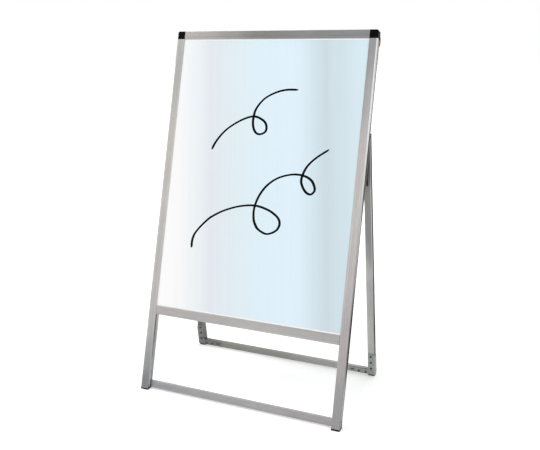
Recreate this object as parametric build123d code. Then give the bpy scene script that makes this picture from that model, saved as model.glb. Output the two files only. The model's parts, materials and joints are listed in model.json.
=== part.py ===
from build123d import *
from math import atan2, cos, degrees, radians, sin, sqrt, tan
import os

# Whiteboard sign stand: a leaning front frame of grooved aluminium bars holds a writing board,
# and a U-shaped rear frame hinged behind its stiles carries it. Two slotted rear legs swallow the
# hinge tongues and the stay bars when the stand is folded flat.
# Lengths in millimetres, angles in degrees. X runs right seen from the writing side, the board
# faces -Y, Z is up and the feet stand on Z = 0.

# Stand as a whole
frame_width = 652.0  # outer faces of the two stiles
stile_length = 1132.0  # floor to top edge, along the slope
front_lean = 14.8  # front frame, from the vertical
opening_angle = 24.4  # between front and rear frames
leg_inset = 3.5  # rear leg's outer face inside the stile's

# Front bars that hold the board, one extrusion in two widths
stile_face = 25.0  # stiles and top rail, seen from the front
rail_face = 28.0  # middle rail
bar_depth = 22.0
bar_wall = 1.6
bar_edge = 1.0  # rounding of the long edges
lip = 2.0  # metal in front of the board
board_slot = 9.0  # depth of the slot that takes the board's edge
groove_width = 12.0  # long groove in the outer side of each bar
groove_depth = 3.0
groove_centre = 14.0  # from the front face

# Board
sheet = 0.6  # steel writing sheet
core = 5.2  # light core
back_sheet = 0.4
board_clear = 0.15  # front and back of the board in its slot
board_seat = 8.0  # how far the board's edge reaches into the slot

# Flat tube of the bottom rail and of the rear rail
flat_rail_face = 22.0
flat_rail_depth = 10.0
flat_rail_wall = 1.5
flat_rail_set = 11.0  # bottom rail's front behind the stiles'

# Rails along the slope, from the floor line
middle_rail_low = 237.0
bottom_rail_low = 7.5

# Corner caps
cap_round = 5.0  # outer top corner
cap_arm = 32.0  # arm pushed into each bar
cap_rib = 0.6  # depth of the two lines across the cap
ear_reach = 8.5  # lug behind the cap, from the bar's back
ear_length = 30.0
ear_width = 11.0

# Feet
front_pad = 4.5  # sole under the front bars
rear_pad = 4.5
plug_length = 30.0  # up inside the front bars
rear_plug_length = 15.0

# Rear legs
leg_face = 21.0
leg_depth = 22.0
leg_wall = 1.5
leg_groove_width = 11.0
leg_groove_depth = 3.0
leg_top = 16.5  # hinge pin up to the top of the leg's cap
leg_cap = 2.5
leg_slot_width = 6.0
leg_slot_below = 138.0  # hinge pin down to the slot's round end
rear_rail_low = 3.4  # above the floor line of the legs

# Hinge
hinge_drop = 309.0  # top edge of the stile down to the hinge pin
hinge_plate = 4.0
hinge_plate_length = 68.0
hinge_plate_width = 21.0
tongue = 4.5
tongue_round = 6.5
tongue_foot = 24.0  # how far the tongue's root runs below the pin
pin_radius = 3.0
pin_head = 5.0
pin_head_height = 2.0
bush_radius = 6.0
stop_clear = 0.1  # leg cap to hinge plate when fully open

# Stays
stay_drop = 128.0  # hinge pin down to the stay's pivot, along the stile
stay_set = 14.0  # stay pivot behind the stile's back
stay_slider_drop = 60.0  # hinge pin down to the slider, along the open leg
stay_width = 12.0
stay_thick = 2.5
stay_pin_radius = 2.5
lug = 2.0
lug_plate_length = 34.0
lug_plate_width = 18.0
roller_radius = 5.0
roller_length = 3.0

# Rear corner brackets
bracket = 2.0
bracket_leg_arm = 76.0
bracket_rail_arm = 65.0
bracket_leg_width = 20.0
bracket_rail_width = 17.0
bracket_side_height = 68.0
bracket_side_depth = 21.0
bracket_leg_screws = (22.0, 44.0, 66.0)  # up from the bracket's lower edge
bracket_rail_screws = (8.0, 31.0)  # in from the leg
bracket_screw_rise = 6.5  # rail screws above the bracket's lower edge
bracket_slot_at = 52.5
bracket_slot_rise = 9.0
bracket_slot_length = 14.0

# Screws and clearances
screw_radius = 1.75
screw_head = 3.5
screw_head_height = 2.1
screw_reach = 6.0  # shank below the metal that it bites
long_screw_radius = 2.0
long_screw_bite = 16.0  # end of the long screw inside the rail's key
key_length = 30.0
fit = 0.3  # pieces pushed into a bar
running = 0.1  # pin in a turning hole, on the radius
hole = 0.1  # screw in the hole that it grips, on the radius
loose_hole = 0.35  # screw through a plate, on the radius

# Derived places
slot_gap = sheet + core + back_sheet + 2 * board_clear
half = frame_width / 2
stile_metal_top = stile_length - stile_face
rear_lean = opening_angle - front_lean
opening = radians(opening_angle)
lean = radians(front_lean)
rear = radians(rear_lean)
rear_width = frame_width - 2 * leg_inset
leg_centre = rear_width / 2 - leg_face / 2
hinge_s = stile_length - hinge_drop
hinge_q = (
    bar_depth + hinge_plate + stop_clear + leg_top * sin(opening) + leg_depth / 2 * cos(opening)
)
hinge_y = hinge_s * sin(lean) + hinge_q * cos(lean)
hinge_z = hinge_s * cos(lean) - hinge_q * sin(lean)
rear_floor = -(hinge_z - leg_depth / 2 * sin(rear)) / cos(rear)  # floor line on the legs' front
rear_floor_back = -(hinge_z + leg_depth / 2 * sin(rear)) / cos(rear)
stand_depth = hinge_y + leg_depth / 2 * cos(rear) - rear_floor_back * sin(rear)
centring = Pos(0, -stand_depth / 2, 0)


def in_front(shape):
    # Front frame space: X as built, Y behind the front face, Z up the slope.
    return centring * Rot(-front_lean, 0, 0) * shape


def in_rear(shape):
    # Rear frame space: origin on the hinge line, Y behind it, Z up the legs.
    return centring * Pos(0, hinge_y, hinge_z) * Rot(rear_lean, 0, 0) * shape


def block(low, high):
    size = [b - a for a, b in zip(low, high)]
    return Pos(*low) * Box(*size, align=(Align.MIN, Align.MIN, Align.MIN))


def rod(radius, start, end, y, z):
    # Round bar along X.
    turned = Rot(0, 90, 0) * Cylinder(radius, end - start, align=(Align.CENTER, Align.CENTER, Align.MIN))
    return Pos(start, y, z) * turned


def stud(radius, x, start, end, z):
    # Round bar along Y.
    turned = Rot(-90, 0, 0) * Cylinder(radius, end - start, align=(Align.CENTER, Align.CENTER, Align.MIN))
    return Pos(x, start, z) * turned


def polygon(points):
    return make_face(Polyline(*points, close=True))


def floor_slab(low, high):
    reach = 4 * stile_length
    return Pos(0, 0, low) * Box(reach, reach, high - low, align=(Align.CENTER, Align.CENTER, Align.MIN))


def mirrored(shape):
    return mirror(shape, about=Plane.YZ)


def bar_outline(width):
    plate = Rectangle(width, bar_depth, align=(Align.MIN, Align.MIN))
    return fillet(plate.vertices(), bar_edge)


def bar_section(width):
    # Drawn with X in from the outer side and Y back from the front face.
    inner = width - bar_wall
    back = bar_depth - bar_wall
    step = groove_depth + bar_wall
    groove_low = groove_centre - groove_width / 2
    slot_back = lip + slot_gap + bar_wall
    slot_wall = width - board_slot - bar_wall
    hollow = [
        (bar_wall, bar_wall),
        (slot_wall, bar_wall),
        (slot_wall, slot_back),
        (inner, slot_back),
        (inner, back),
        (step, back),
        (step, groove_low - bar_wall),
        (bar_wall, groove_low - bar_wall),
    ]
    section = bar_outline(width) - polygon(hollow)
    section -= Pos(0, groove_low) * Rectangle(groove_depth, groove_width, align=(Align.MIN, Align.MIN))
    section -= Pos(width - board_slot, lip) * Rectangle(board_slot, slot_gap, align=(Align.MIN, Align.MIN))
    return section


def core_section(width):
    # The rectangle that slides into a bar's hollow, beside the groove and the slot.
    low = groove_depth + bar_wall + fit
    high = width - board_slot - bar_wall - fit
    tall = bar_depth - 2 * (bar_wall + fit)
    return Pos(low, bar_wall + fit) * Rectangle(high - low, tall, align=(Align.MIN, Align.MIN))


def inset_rectangle(inset):
    # The flat tube's outline, or what lies inside it.
    size = (flat_rail_face - 2 * inset, flat_rail_depth - 2 * inset)
    return Pos(inset, inset) * Rectangle(*size, align=(Align.MIN, Align.MIN))


def flat_section():
    return fillet(inset_rectangle(0).vertices(), bar_edge) - inset_rectangle(flat_rail_wall)


def upright(section, low, high):
    # Left-hand bar up the slope, its outer side on the stand's left face.
    return Pos(-half, 0, low) * extrude(section, high - low)


def across(section, start, end, edge, up=True):
    # Bar along X. The section's outer side lies at the height edge and faces down, or up.
    if up:
        plane = Plane(origin=(end, 0, edge), x_dir=(0, 0, 1), z_dir=(-1, 0, 0))
    else:
        plane = Plane(origin=(start, 0, edge), x_dir=(0, 0, -1), z_dir=(1, 0, 0))
    return extrude(plane * section, end - start)


def screw(x, surface, z, reach):
    # Pan head standing in front of the surface at Y, shank going back. A negative reach turns it round.
    way = 1 if reach > 0 else -1
    head_start = surface - way * screw_head_height
    head = stud(screw_head, x, min(head_start, surface), max(head_start, surface), z)
    rim = head.edges().filter_by(GeomType.CIRCLE).sort_by(Axis.Y)
    head = fillet(rim[0] if way > 0 else rim[-1], 0.7 * screw_head_height)
    tip = surface + reach
    return head + stud(screw_radius, x, min(surface, tip), max(surface, tip), z)


os.makedirs("parts", exist_ok=True)


def write(name, shape):
    export_step(shape, f"parts/{name}.step")


# Front frame bars
slim = bar_section(stile_face)
inner_x = half - stile_face
middle_screw_at = groove_depth + bar_wall + (rail_face - board_slot - groove_depth - 2 * bar_wall) / 2
middle_screws = [(groove_centre, middle_rail_low + middle_screw_at)]
bottom_screw_q = flat_rail_set + flat_rail_depth / 2
bottom_screws = [(bottom_screw_q, bottom_rail_low + share * flat_rail_face) for share in (0.3, 0.7)]

hinge_screws = [hinge_s + side * (hinge_plate_length / 2 - 7.0) for side in (-1, 1)]
stay_s = hinge_s - stay_drop
stay_q = bar_depth + stay_set
lug_screws = [stay_s + side * (lug_plate_length / 2 - 6.0) for side in (-1, 1)]
lug_screw_x = leg_centre + 4.5

stile = upright(slim, -bar_depth, stile_metal_top)
for q, s in middle_screws + bottom_screws:
    stile -= rod(long_screw_radius + hole, -half - 1, -inner_x + 1, q, s)
for s in hinge_screws:
    stile -= stud(screw_radius + hole, -leg_centre, bar_depth - bar_wall - 1, bar_depth + 1, s)
for s in lug_screws:
    stile -= stud(screw_radius + hole, -lug_screw_x, bar_depth - bar_wall - 1, bar_depth + 1, s)
left_stile = in_front(stile) - floor_slab(-3 * bar_depth, front_pad)
write("left_stile", left_stile)
write("right_stile", mirrored(left_stile))

top_rail = across(slim, -inner_x, inner_x, stile_length, up=False)
write("top_rail", in_front(top_rail))

middle_rail = across(bar_section(rail_face), -inner_x, inner_x, middle_rail_low)
write("middle_rail", in_front(middle_rail))

bottom_rail = across(Pos(0, flat_rail_set) * flat_section(), -inner_x, inner_x, bottom_rail_low)
write("bottom_rail", in_front(bottom_rail))

# Board: writing sheet, core and back sheet, its edges inside the bars' slots
board_half = inner_x + board_seat
board_low = middle_rail_low + rail_face - board_seat
board_high = stile_metal_top + board_seat
sheet_front = lip + board_clear
core_front = sheet_front + sheet
back_front = core_front + core
for name, front, thick in (
    ("writing_sheet", sheet_front, sheet),
    ("board_core", core_front, core),
    ("board_back_sheet", back_front, back_sheet),
):
    layer = block((-board_half, front, board_low), (board_half, front + thick, board_high))
    write(name, in_front(layer))

# Corner caps: a visible corner block, two arms inside the bars, a lug behind
core_slim = core_section(stile_face)
cap = block((-half, 0, stile_metal_top), (-inner_x, bar_depth, stile_length))
corner_edge = cap.edges().filter_by(Axis.Y).sort_by(Axis.X)[:2].sort_by(Axis.Z)[-1]
cap = fillet(corner_edge, cap_round)
cap = chamfer(cap.faces().sort_by(Axis.Y)[0].edges(), 0.5)
for line in (0.36, 0.62):
    height = stile_metal_top + line * stile_face
    cap -= block((-half, 0, height), (-inner_x, cap_rib, height + 1.2))
    cap -= block((-half, 0, height), (-half + cap_rib, bar_depth, height + 1.2))
cap -= block(
    (-inner_x - board_slot, lip, stile_metal_top),
    (-inner_x, lip + slot_gap, stile_metal_top + board_slot),
)
cap += upright(core_slim, stile_metal_top - cap_arm, stile_metal_top)
cap += across(core_slim, -inner_x, -inner_x + cap_arm, stile_length, up=False)
ear_top = stile_metal_top + 0.45 * stile_face
ear_low = ear_top - ear_length
ear_points = [
    (bar_depth, ear_top),
    (bar_depth + 0.55 * ear_reach, ear_top - 0.1 * ear_length),
    (bar_depth + ear_reach, ear_top - 0.4 * ear_length),
    (bar_depth + ear_reach, ear_top - 0.75 * ear_length),
    (bar_depth + 0.4 * ear_reach, ear_low),
    (bar_depth + fit, ear_low),
    (bar_depth + fit, stile_metal_top - fit),
    (bar_depth, stile_metal_top),
]
ear_plane = Plane(origin=(-half, 0, 0), x_dir=(0, 1, 0), z_dir=(1, 0, 0))
cap += extrude(ear_plane * polygon(ear_points), ear_width)
left_cap = in_front(cap)
write("left_corner_cap", left_cap)
write("right_corner_cap", mirrored(left_cap))

# Front feet: sole on the floor, plug up inside the stile
sole = upright(bar_outline(stile_face), -bar_depth, stile_face)
foot = in_front(sole) & floor_slab(0, front_pad)
plug = upright(core_slim, -bar_depth, plug_length)
for q, s in bottom_screws:
    plug -= rod(long_screw_radius + hole, -half - 1, -inner_x + 1, q, s)
left_foot = foot + (in_front(plug) - floor_slab(-3 * bar_depth, front_pad))
write("left_front_foot", left_foot)
write("right_front_foot", mirrored(left_foot))

# Keys inside the ends of the middle and bottom rails, and the long screws that draw them up
keys = []
long_screws = []
for core_shape, low, places in (
    (core_section(rail_face), middle_rail_low, middle_screws),
    (Pos(0, flat_rail_set) * inset_rectangle(flat_rail_wall + fit), bottom_rail_low, bottom_screws),
):
    key = across(core_shape, -inner_x, -inner_x + key_length, low)
    for q, s in places:
        key -= rod(long_screw_radius + hole, -inner_x - 1, -inner_x + long_screw_bite + 1, q, s)
        head_low = -half + groove_depth - screw_head_height
        long_screw = rod(screw_head, head_low, -half + groove_depth, q, s)
        long_screw += rod(long_screw_radius, head_low, -inner_x + long_screw_bite, q, s)
        long_screws += [long_screw, mirrored(long_screw)]
    keys += [key, mirrored(key)]
write("rail_keys", Compound([in_front(key) for key in keys]))
write("frame_screws", Compound([in_front(one) for one in long_screws]))

# Hinge brackets: plate on the stile's back, tongue reaching into the slotted leg
plate_low = hinge_s - hinge_plate_length / 2
plate_high = hinge_s + hinge_plate_length / 2
plate_back = bar_depth + hinge_plate
hinge_body = block(
    (leg_centre - hinge_plate_width / 2, bar_depth, plate_low),
    (leg_centre + hinge_plate_width / 2, plate_back, plate_high),
)
hinge_body = fillet(hinge_body.edges().filter_by(Axis.Y), 3.0)
tongue_plane = Plane(origin=(leg_centre - tongue / 2, 0, 0), x_dir=(0, 1, 0), z_dir=(1, 0, 0))
root_points = [
    (plate_back - 1.0, hinge_s + tongue_round),
    (hinge_q, hinge_s + tongue_round),
    (hinge_q + tongue_round * 0.8, hinge_s - tongue_round * 0.6),
    (plate_back - 1.0, hinge_s - tongue_foot),
]
tongue_face = polygon(root_points) + Pos(hinge_q, hinge_s) * Circle(tongue_round)
hinge_body += extrude(tongue_plane * tongue_face, tongue)
hinge_body -= rod(pin_radius + running, leg_centre - tongue, leg_centre + tongue, hinge_q, hinge_s)
for s in hinge_screws:
    hinge_body -= stud(screw_radius + loose_hole, leg_centre, bar_depth - 1, plate_back + 1, s)
right_hinge = in_front(hinge_body)
write("right_hinge_bracket", right_hinge)
write("left_hinge_bracket", mirrored(right_hinge))
plate_reach = -hinge_plate - screw_reach
plate_screws = [in_front(screw(leg_centre, plate_back, s, plate_reach)) for s in hinge_screws]
write("hinge_screws", Compound(plate_screws + [mirrored(one) for one in plate_screws]))

# Stay lugs: bent plates on the stiles' backs
lug_x = leg_centre - lug - 0.35
lug_body = block(
    (leg_centre - lug_plate_width / 2, bar_depth, stay_s - lug_plate_length / 2),
    (leg_centre + lug_plate_width / 2, bar_depth + lug, stay_s + lug_plate_length / 2),
)
lug_body = fillet(lug_body.edges().filter_by(Axis.Y), 2.5)
lug_plane = Plane(origin=(lug_x, 0, 0), x_dir=(0, 1, 0), z_dir=(1, 0, 0))
lug_face = polygon(
    [
        (bar_depth + lug / 2, stay_s + stay_width / 2 + 3.0),
        (stay_q, stay_s + stay_width / 2),
        (stay_q, stay_s - stay_width / 2),
        (bar_depth + lug / 2, stay_s - stay_width / 2 - 3.0),
    ]
) + Pos(stay_q, stay_s) * Circle(stay_width / 2)
lug_body += extrude(lug_plane * lug_face, lug)
lug_body -= rod(stay_pin_radius + running, lug_x - 1, lug_x + lug + 1, stay_q, stay_s)
for s in lug_screws:
    lug_body -= stud(screw_radius + loose_hole, lug_screw_x, bar_depth - 1, bar_depth + lug + 1, s)
right_lug = in_front(lug_body)
write("right_stay_lug", right_lug)
write("left_stay_lug", mirrored(right_lug))
short_screws = [in_front(screw(lug_screw_x, bar_depth + lug, s, -lug - screw_reach)) for s in lug_screws]
write("stay_lug_screws", Compound(short_screws + [mirrored(one) for one in short_screws]))
rivet_low = lug_x - 0.25
rivet_high = leg_centre - 0.15 + stay_thick + 0.25
rivet = in_front(rod(stay_pin_radius, rivet_low, rivet_high, stay_q, stay_s))
write("stay_rivets", Compound([rivet, mirrored(rivet)]))

# Stays: flat bars from the lugs up into the legs, with a roller pair inside each leg
slider_s = hinge_s - stay_slider_drop * cos(opening)
slider_q = hinge_q + stay_slider_drop * sin(opening)
stay_rise = slider_s - stay_s
stay_back = slider_q - stay_q
stay_length = sqrt(stay_rise**2 + stay_back**2)
stay_tilt = degrees(atan2(stay_back, stay_rise))


def on_stay(shape):
    # Stay space: origin on the lug's rivet, Z along the bar.
    return in_front(Pos(leg_centre, stay_q, stay_s) * Rot(-stay_tilt, 0, 0) * shape)


stay_x = -0.15
stay_plane = Plane(origin=(stay_x, 0, 0), x_dir=(0, 1, 0), z_dir=(1, 0, 0))
strip = Pos(0, stay_length / 2) * Rectangle(stay_width, stay_length)
stay_face = strip + Circle(stay_width / 2) + Pos(0, stay_length) * Circle(stay_width / 2)
stay_face -= Circle(stay_pin_radius + running) + Pos(0, stay_length) * Circle(stay_pin_radius + hole)
right_stay = on_stay(extrude(stay_plane * stay_face, stay_thick))
write("right_stay", right_stay)
write("left_stay", mirrored(right_stay))
roller_in = stay_x - 0.2
roller_out = stay_x + stay_thick + 0.2
pin_in = roller_in - roller_length - 0.2
pin_out = roller_out + roller_length + 0.2
stay_pin = on_stay(rod(stay_pin_radius, pin_in, pin_out, 0, stay_length))
write("right_stay_pin", stay_pin)
write("left_stay_pin", mirrored(stay_pin))
rollers = []
for start in (roller_in - roller_length, roller_out):
    roller = rod(roller_radius, start, start + roller_length, 0, stay_length)
    roller -= rod(stay_pin_radius + running, start - 1, start + roller_length + 1, 0, stay_length)
    rollers.append(on_stay(roller))
write("right_stay_rollers", Compound(rollers))
write("left_stay_rollers", Compound([mirrored(one) for one in rollers]))

# Rear legs: grooved tubes, slotted in front from the top end down
leg_outline = fillet(Rectangle(leg_face, leg_depth, align=(Align.MIN, Align.CENTER)).vertices(), bar_edge)
notch = leg_groove_width / 2 + leg_wall
step = leg_groove_depth + leg_wall
leg_inner = leg_face - leg_wall
leg_back = leg_depth / 2 - leg_wall
leg_hollow = polygon(
    [
        (leg_wall, -leg_back),
        (leg_inner, -leg_back),
        (leg_inner, leg_back),
        (leg_wall, leg_back),
        (leg_wall, notch),
        (step, notch),
        (step, -notch),
        (leg_wall, -notch),
    ]
)
leg_groove = Rectangle(leg_groove_depth, leg_groove_width, align=(Align.MIN, Align.CENTER))
leg_section = leg_outline - leg_hollow - leg_groove
leg_outer = -rear_width / 2
leg_metal_top = leg_top - leg_cap
leg_foot_low = rear_floor_back - leg_depth
rail_low = rear_floor + rear_rail_low
bracket_low = rear_floor + rear_pad + 1.5
side_x = -leg_centre
leg_screws = [bracket_low + at for at in bracket_leg_screws]
rail_edge = -(rear_width / 2 - leg_face)
rail_screw_x = [rail_edge + at for at in bracket_rail_screws]
rail_screw_w = bracket_low + bracket_screw_rise

leg = Pos(leg_outer, 0, leg_foot_low) * extrude(leg_section, leg_metal_top - leg_foot_low)
slot_end = -leg_slot_below + leg_slot_width / 2
leg -= block(
    (side_x - leg_slot_width / 2, -leg_depth, slot_end),
    (side_x + leg_slot_width / 2, -leg_back + 0.5, leg_metal_top + 1),
)
leg -= stud(leg_slot_width / 2, side_x, -leg_depth, -leg_back + 0.5, slot_end)
leg -= rod(pin_radius + hole, leg_outer - 1, leg_outer + leg_face + 1, 0, 0)
for w in leg_screws:
    leg -= stud(screw_radius + hole, side_x, -leg_depth, -leg_back + 1, w)
left_leg = in_rear(leg) - floor_slab(-3 * leg_depth, rear_pad)
write("left_rear_leg", left_leg)
write("right_rear_leg", mirrored(left_leg))

# Leg caps and rear feet
leg_cap_body = Pos(leg_outer, 0, leg_metal_top) * extrude(leg_outline, leg_cap)
leg_cap_body = chamfer(leg_cap_body.faces().sort_by(Axis.Z)[-1].edges(), 0.4)
leg_cap_body += block(
    (leg_outer + step + fit, leg_back * 0.3, leg_metal_top - 5.5),
    (leg_outer + leg_inner - fit, leg_back - fit, leg_metal_top),
)
left_leg_cap = in_rear(leg_cap_body)
write("left_leg_cap", left_leg_cap)
write("right_leg_cap", mirrored(left_leg_cap))

leg_end = Pos(leg_outer, 0, leg_foot_low) * extrude(leg_outline, 3 * leg_depth)
rear_sole = in_rear(leg_end) & floor_slab(0, rear_pad)
rear_plug = block(
    (leg_outer + step + fit, -leg_back + fit, leg_foot_low),
    (leg_outer + leg_inner - fit, leg_back - fit, rear_floor + rear_plug_length),
)
left_rear_foot = rear_sole + (in_rear(rear_plug) - floor_slab(-3 * leg_depth, rear_pad))
write("left_rear_foot", left_rear_foot)
write("right_rear_foot", mirrored(left_rear_foot))

# Rear rail between the legs, its front flush with theirs
rear_rail = Pos(0, -leg_depth / 2) * across(flat_section(), rail_edge, -rail_edge, rail_low)
rail_front_wall = -leg_depth / 2 + flat_rail_wall
for x in rail_screw_x + [-x for x in rail_screw_x]:
    rear_rail -= stud(screw_radius + hole, x, -leg_depth, rail_front_wall + 1, rail_screw_w)
write("rear_rail", in_rear(rear_rail))

# Rear corner brackets: bent steel on the front of leg and rail, one wing round the leg's side
plate_front = -leg_depth / 2 - bracket
leg_left = side_x - leg_face / 2
leg_right = leg_left + bracket_leg_width
arm_end = rail_edge + bracket_rail_arm
arm_high = bracket_low + bracket_rail_width
ell = polygon(
    [
        (leg_left, bracket_low),
        (arm_end, bracket_low),
        (arm_end, arm_high),
        (leg_right, arm_high),
        (leg_right, bracket_low + bracket_leg_arm),
        (leg_left, bracket_low + bracket_leg_arm),
    ]
)
right_side = ell.vertices().sort_by(Axis.X)[-2:]
ell = fillet(right_side, 3.0)
inner_corner = [v for v in ell.vertices() if abs(v.X - leg_right) < 0.01 and abs(v.Y - arm_high) < 0.01]
ell = fillet(inner_corner, 5.0)
for w in leg_screws:
    ell -= Pos(side_x, w) * Circle(screw_radius + loose_hole)
for x in rail_screw_x:
    ell -= Pos(x, rail_screw_w) * Circle(screw_radius + loose_hole)
slot_place = Pos(rail_edge + bracket_slot_at, bracket_low + bracket_slot_rise)
ell -= slot_place * SlotOverall(bracket_slot_length, 2 * (screw_radius + loose_hole))
front_plane = Plane(origin=(0, plate_front, 0), x_dir=(1, 0, 0), z_dir=(0, -1, 0))
corner = extrude(front_plane * ell, -bracket)
wing = block(
    (leg_outer - bracket, plate_front, bracket_low),
    (leg_outer, plate_front + bracket_side_depth, bracket_low + bracket_side_height),
)
wing = fillet(wing.edges().filter_by(Axis.X).sort_by(Axis.Y)[-2:], 4.0)
left_bracket = in_rear(corner + wing)
write("left_corner_bracket", left_bracket)
write("right_corner_bracket", mirrored(left_bracket))
corner_screws = [in_rear(screw(side_x, plate_front, w, bracket + screw_reach)) for w in leg_screws]
corner_screws += [in_rear(screw(x, plate_front, rail_screw_w, bracket + screw_reach)) for x in rail_screw_x]
write("corner_bracket_screws", Compound(corner_screws + [mirrored(one) for one in corner_screws]))

# Hinge pins through the legs, their outer heads sunk in the grooves, and the bushes beside the tongues
pin_start = leg_outer + leg_groove_depth
pin_end = leg_outer + leg_face
pin = rod(pin_radius, pin_start, pin_end, 0, 0)
outer_head = rod(pin_head, pin_start - pin_head_height, pin_start, 0, 0)
pin += fillet(outer_head.edges().filter_by(GeomType.CIRCLE).sort_by(Axis.X)[0], 1.2)
inner_head = rod(pin_head, pin_end, pin_end + pin_head_height, 0, 0)
pin += fillet(inner_head.edges().filter_by(GeomType.CIRCLE).sort_by(Axis.X)[-1], 1.2)
left_pin = in_rear(pin)
write("hinge_pins", Compound([left_pin, mirrored(left_pin)]))
bushes = []
for start, end in (
    (leg_outer + step + 0.1, side_x - tongue / 2 - 0.1),
    (side_x + tongue / 2 + 0.1, leg_outer + leg_inner - 0.1),
):
    bush = rod(bush_radius, start, end, 0, 0) - rod(pin_radius + running, start - 1, end + 1, 0, 0)
    bushes.append(in_rear(bush))
write("hinge_bushes", Compound(bushes + [mirrored(one) for one in bushes]))
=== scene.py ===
import json
import math

import bmesh
import bpy
from mathutils import Matrix, Vector


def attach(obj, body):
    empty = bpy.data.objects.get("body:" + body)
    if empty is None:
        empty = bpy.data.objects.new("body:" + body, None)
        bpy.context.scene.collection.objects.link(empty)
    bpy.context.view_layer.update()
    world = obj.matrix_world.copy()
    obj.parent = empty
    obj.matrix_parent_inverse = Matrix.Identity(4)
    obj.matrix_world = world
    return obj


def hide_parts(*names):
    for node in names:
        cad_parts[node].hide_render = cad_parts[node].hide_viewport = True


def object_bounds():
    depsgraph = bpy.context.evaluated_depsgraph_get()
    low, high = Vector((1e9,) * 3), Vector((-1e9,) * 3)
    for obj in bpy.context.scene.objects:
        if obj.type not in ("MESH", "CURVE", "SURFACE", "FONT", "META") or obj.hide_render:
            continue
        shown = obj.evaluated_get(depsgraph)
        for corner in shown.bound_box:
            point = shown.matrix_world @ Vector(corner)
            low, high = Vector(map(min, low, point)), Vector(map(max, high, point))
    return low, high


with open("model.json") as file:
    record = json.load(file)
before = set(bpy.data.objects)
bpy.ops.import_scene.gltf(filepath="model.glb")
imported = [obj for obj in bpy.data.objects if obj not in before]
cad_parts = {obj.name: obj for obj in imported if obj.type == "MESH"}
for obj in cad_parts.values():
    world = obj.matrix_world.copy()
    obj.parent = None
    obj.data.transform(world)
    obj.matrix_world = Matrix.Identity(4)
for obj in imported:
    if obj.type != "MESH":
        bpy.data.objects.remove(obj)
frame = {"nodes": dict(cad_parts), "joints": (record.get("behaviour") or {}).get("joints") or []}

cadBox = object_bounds()

mm = 0.001

# how the two frames stand, the same numbers as in the solids
stand = {
    "frontLean": 14.8,  # degrees back from the vertical
    "rearLean": 9.6,  # degrees the other way
    "frameWidth": 652.0,  # mm, over the stiles
    "slopeLength": 1132.0,  # mm, floor to top edge
    "stileFace": 25.0,
    "boardFront": 2.15,  # writing sheet behind the bars' front
    "railBottom": 237.0,  # middle rail's lower edge up the slope
    "railFace": 28.0,
    "rearWidth": 645.0,
    "legFace": 21.0,
}

hinge = next(joint for joint in frame["joints"] if joint["name"] == "rear_frame_fold")


def leaningSpace(origin, lean):
    # a frame's own axes: x across, y behind its front, z up the slope
    return Matrix.Translation(origin) @ Matrix.Rotation(math.radians(lean), 4, "X")


frontSpace = leaningSpace((0, cadBox[0].y, 0), -stand["frontLean"])
rearSpace = leaningSpace(hinge["pos_m"], stand["rearLean"])


def addObject(name, data):
    piece = bpy.data.objects.new(name, data)
    bpy.context.scene.collection.objects.link(piece)
    return piece


def hexToLinear(text):
    parts = [int(text[i:i + 2], 16) / 255 for i in (1, 3, 5)]
    return [p / 12.92 if p <= 0.04045 else ((p + 0.055) / 1.055) ** 2.4 for p in parts] + [1.0]


def addNode(tree, kind, inputs=(), stops=(), **settings):
    # inputs are values, nodes or sockets, by name or in the order the node shows them
    # stops fill a colour ramp
    node = tree.nodes.new("ShaderNode" + kind)
    for key, value in settings.items():
        setattr(node, key, value)
    if isinstance(inputs, dict):
        pairs = [(node.inputs[key], value) for key, value in inputs.items()]
    else:
        pairs = zip([socket for socket in node.inputs if socket.enabled], inputs)
    for socket, value in pairs:
        if isinstance(value, bpy.types.Node):
            value = next(output for output in value.outputs if output.enabled)
        if isinstance(value, bpy.types.NodeSocket):
            tree.links.new(value, socket)
        else:
            socket.default_value = value
    if stops:
        elements = node.color_ramp.elements
        while len(elements) < len(stops):
            elements.new(0.5)
        for element, (place, colour) in zip(elements, stops):
            element.position = place
            element.color = hexToLinear(colour)
    return node


def newMaterial(name):
    material = bpy.data.materials.new(name)
    material.use_nodes = True
    material.node_tree.nodes.clear()
    return material, material.node_tree


def finishSurface(tree, sockets):
    shader = addNode(tree, "BsdfPrincipled", sockets)
    addNode(tree, "OutputMaterial", {"Surface": shader})


def placeMm(tree, space):
    # object coordinates turned into a frame's own, in mm
    back = space.inverted()
    return addNode(tree, "Mapping", {
        "Vector": addNode(tree, "TexCoord").outputs["Object"],
        "Location": back.to_translation() / mm,
        "Rotation": back.to_euler(),
        "Scale": (1 / mm, 1 / mm, 1 / mm),
    })


def axesOf(tree, place):
    # the three coordinates, and how far from the middle
    parts = addNode(tree, "SeparateXYZ", [place]).outputs
    apart = addNode(tree, "Math", [parts["X"]], operation="ABSOLUTE")
    return {"X": parts["X"], "Y": parts["Y"], "Z": parts["Z"], "apart": apart}


def between(axis, low, high, blur):
    # a mask's limits for a stretch of one axis, with edges that blur inwards
    return [(axis, low, low + blur), (axis, high, high - blur)]


def maskOf(tree, axes, amount, limits):
    # the amount where each coordinate has reached its limit's second value,
    # and 0 where one is short of its first
    mask = amount
    for axis, noneAt, fullAt in limits:
        step = addNode(tree, "MapRange", [axes[axis], noneAt, fullAt, 0.0, 1.0])
        mask = addNode(tree, "Math", [step, mask], operation="MULTIPLY")
    return mask


def edgeMask(tree, radius, gain, amount):
    # how far the rounded normal leaves the flat one: the amount on an outer or inner edge
    rounded = addNode(tree, "Bevel", [radius * mm], samples=6)
    flat = addNode(tree, "NewGeometry").outputs["Normal"]
    same = addNode(tree, "VectorMath", [rounded, flat], operation="DOT_PRODUCT")
    turned = addNode(tree, "Math", [1.0, same], operation="SUBTRACT")
    raised = addNode(tree, "Math", [turned, gain], operation="MULTIPLY", use_clamp=True)
    return addNode(tree, "Math", [raised, amount], operation="MULTIPLY")


noiseSpan = (0.3, 0.7)  # nearly all of a noise lies between these

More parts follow.
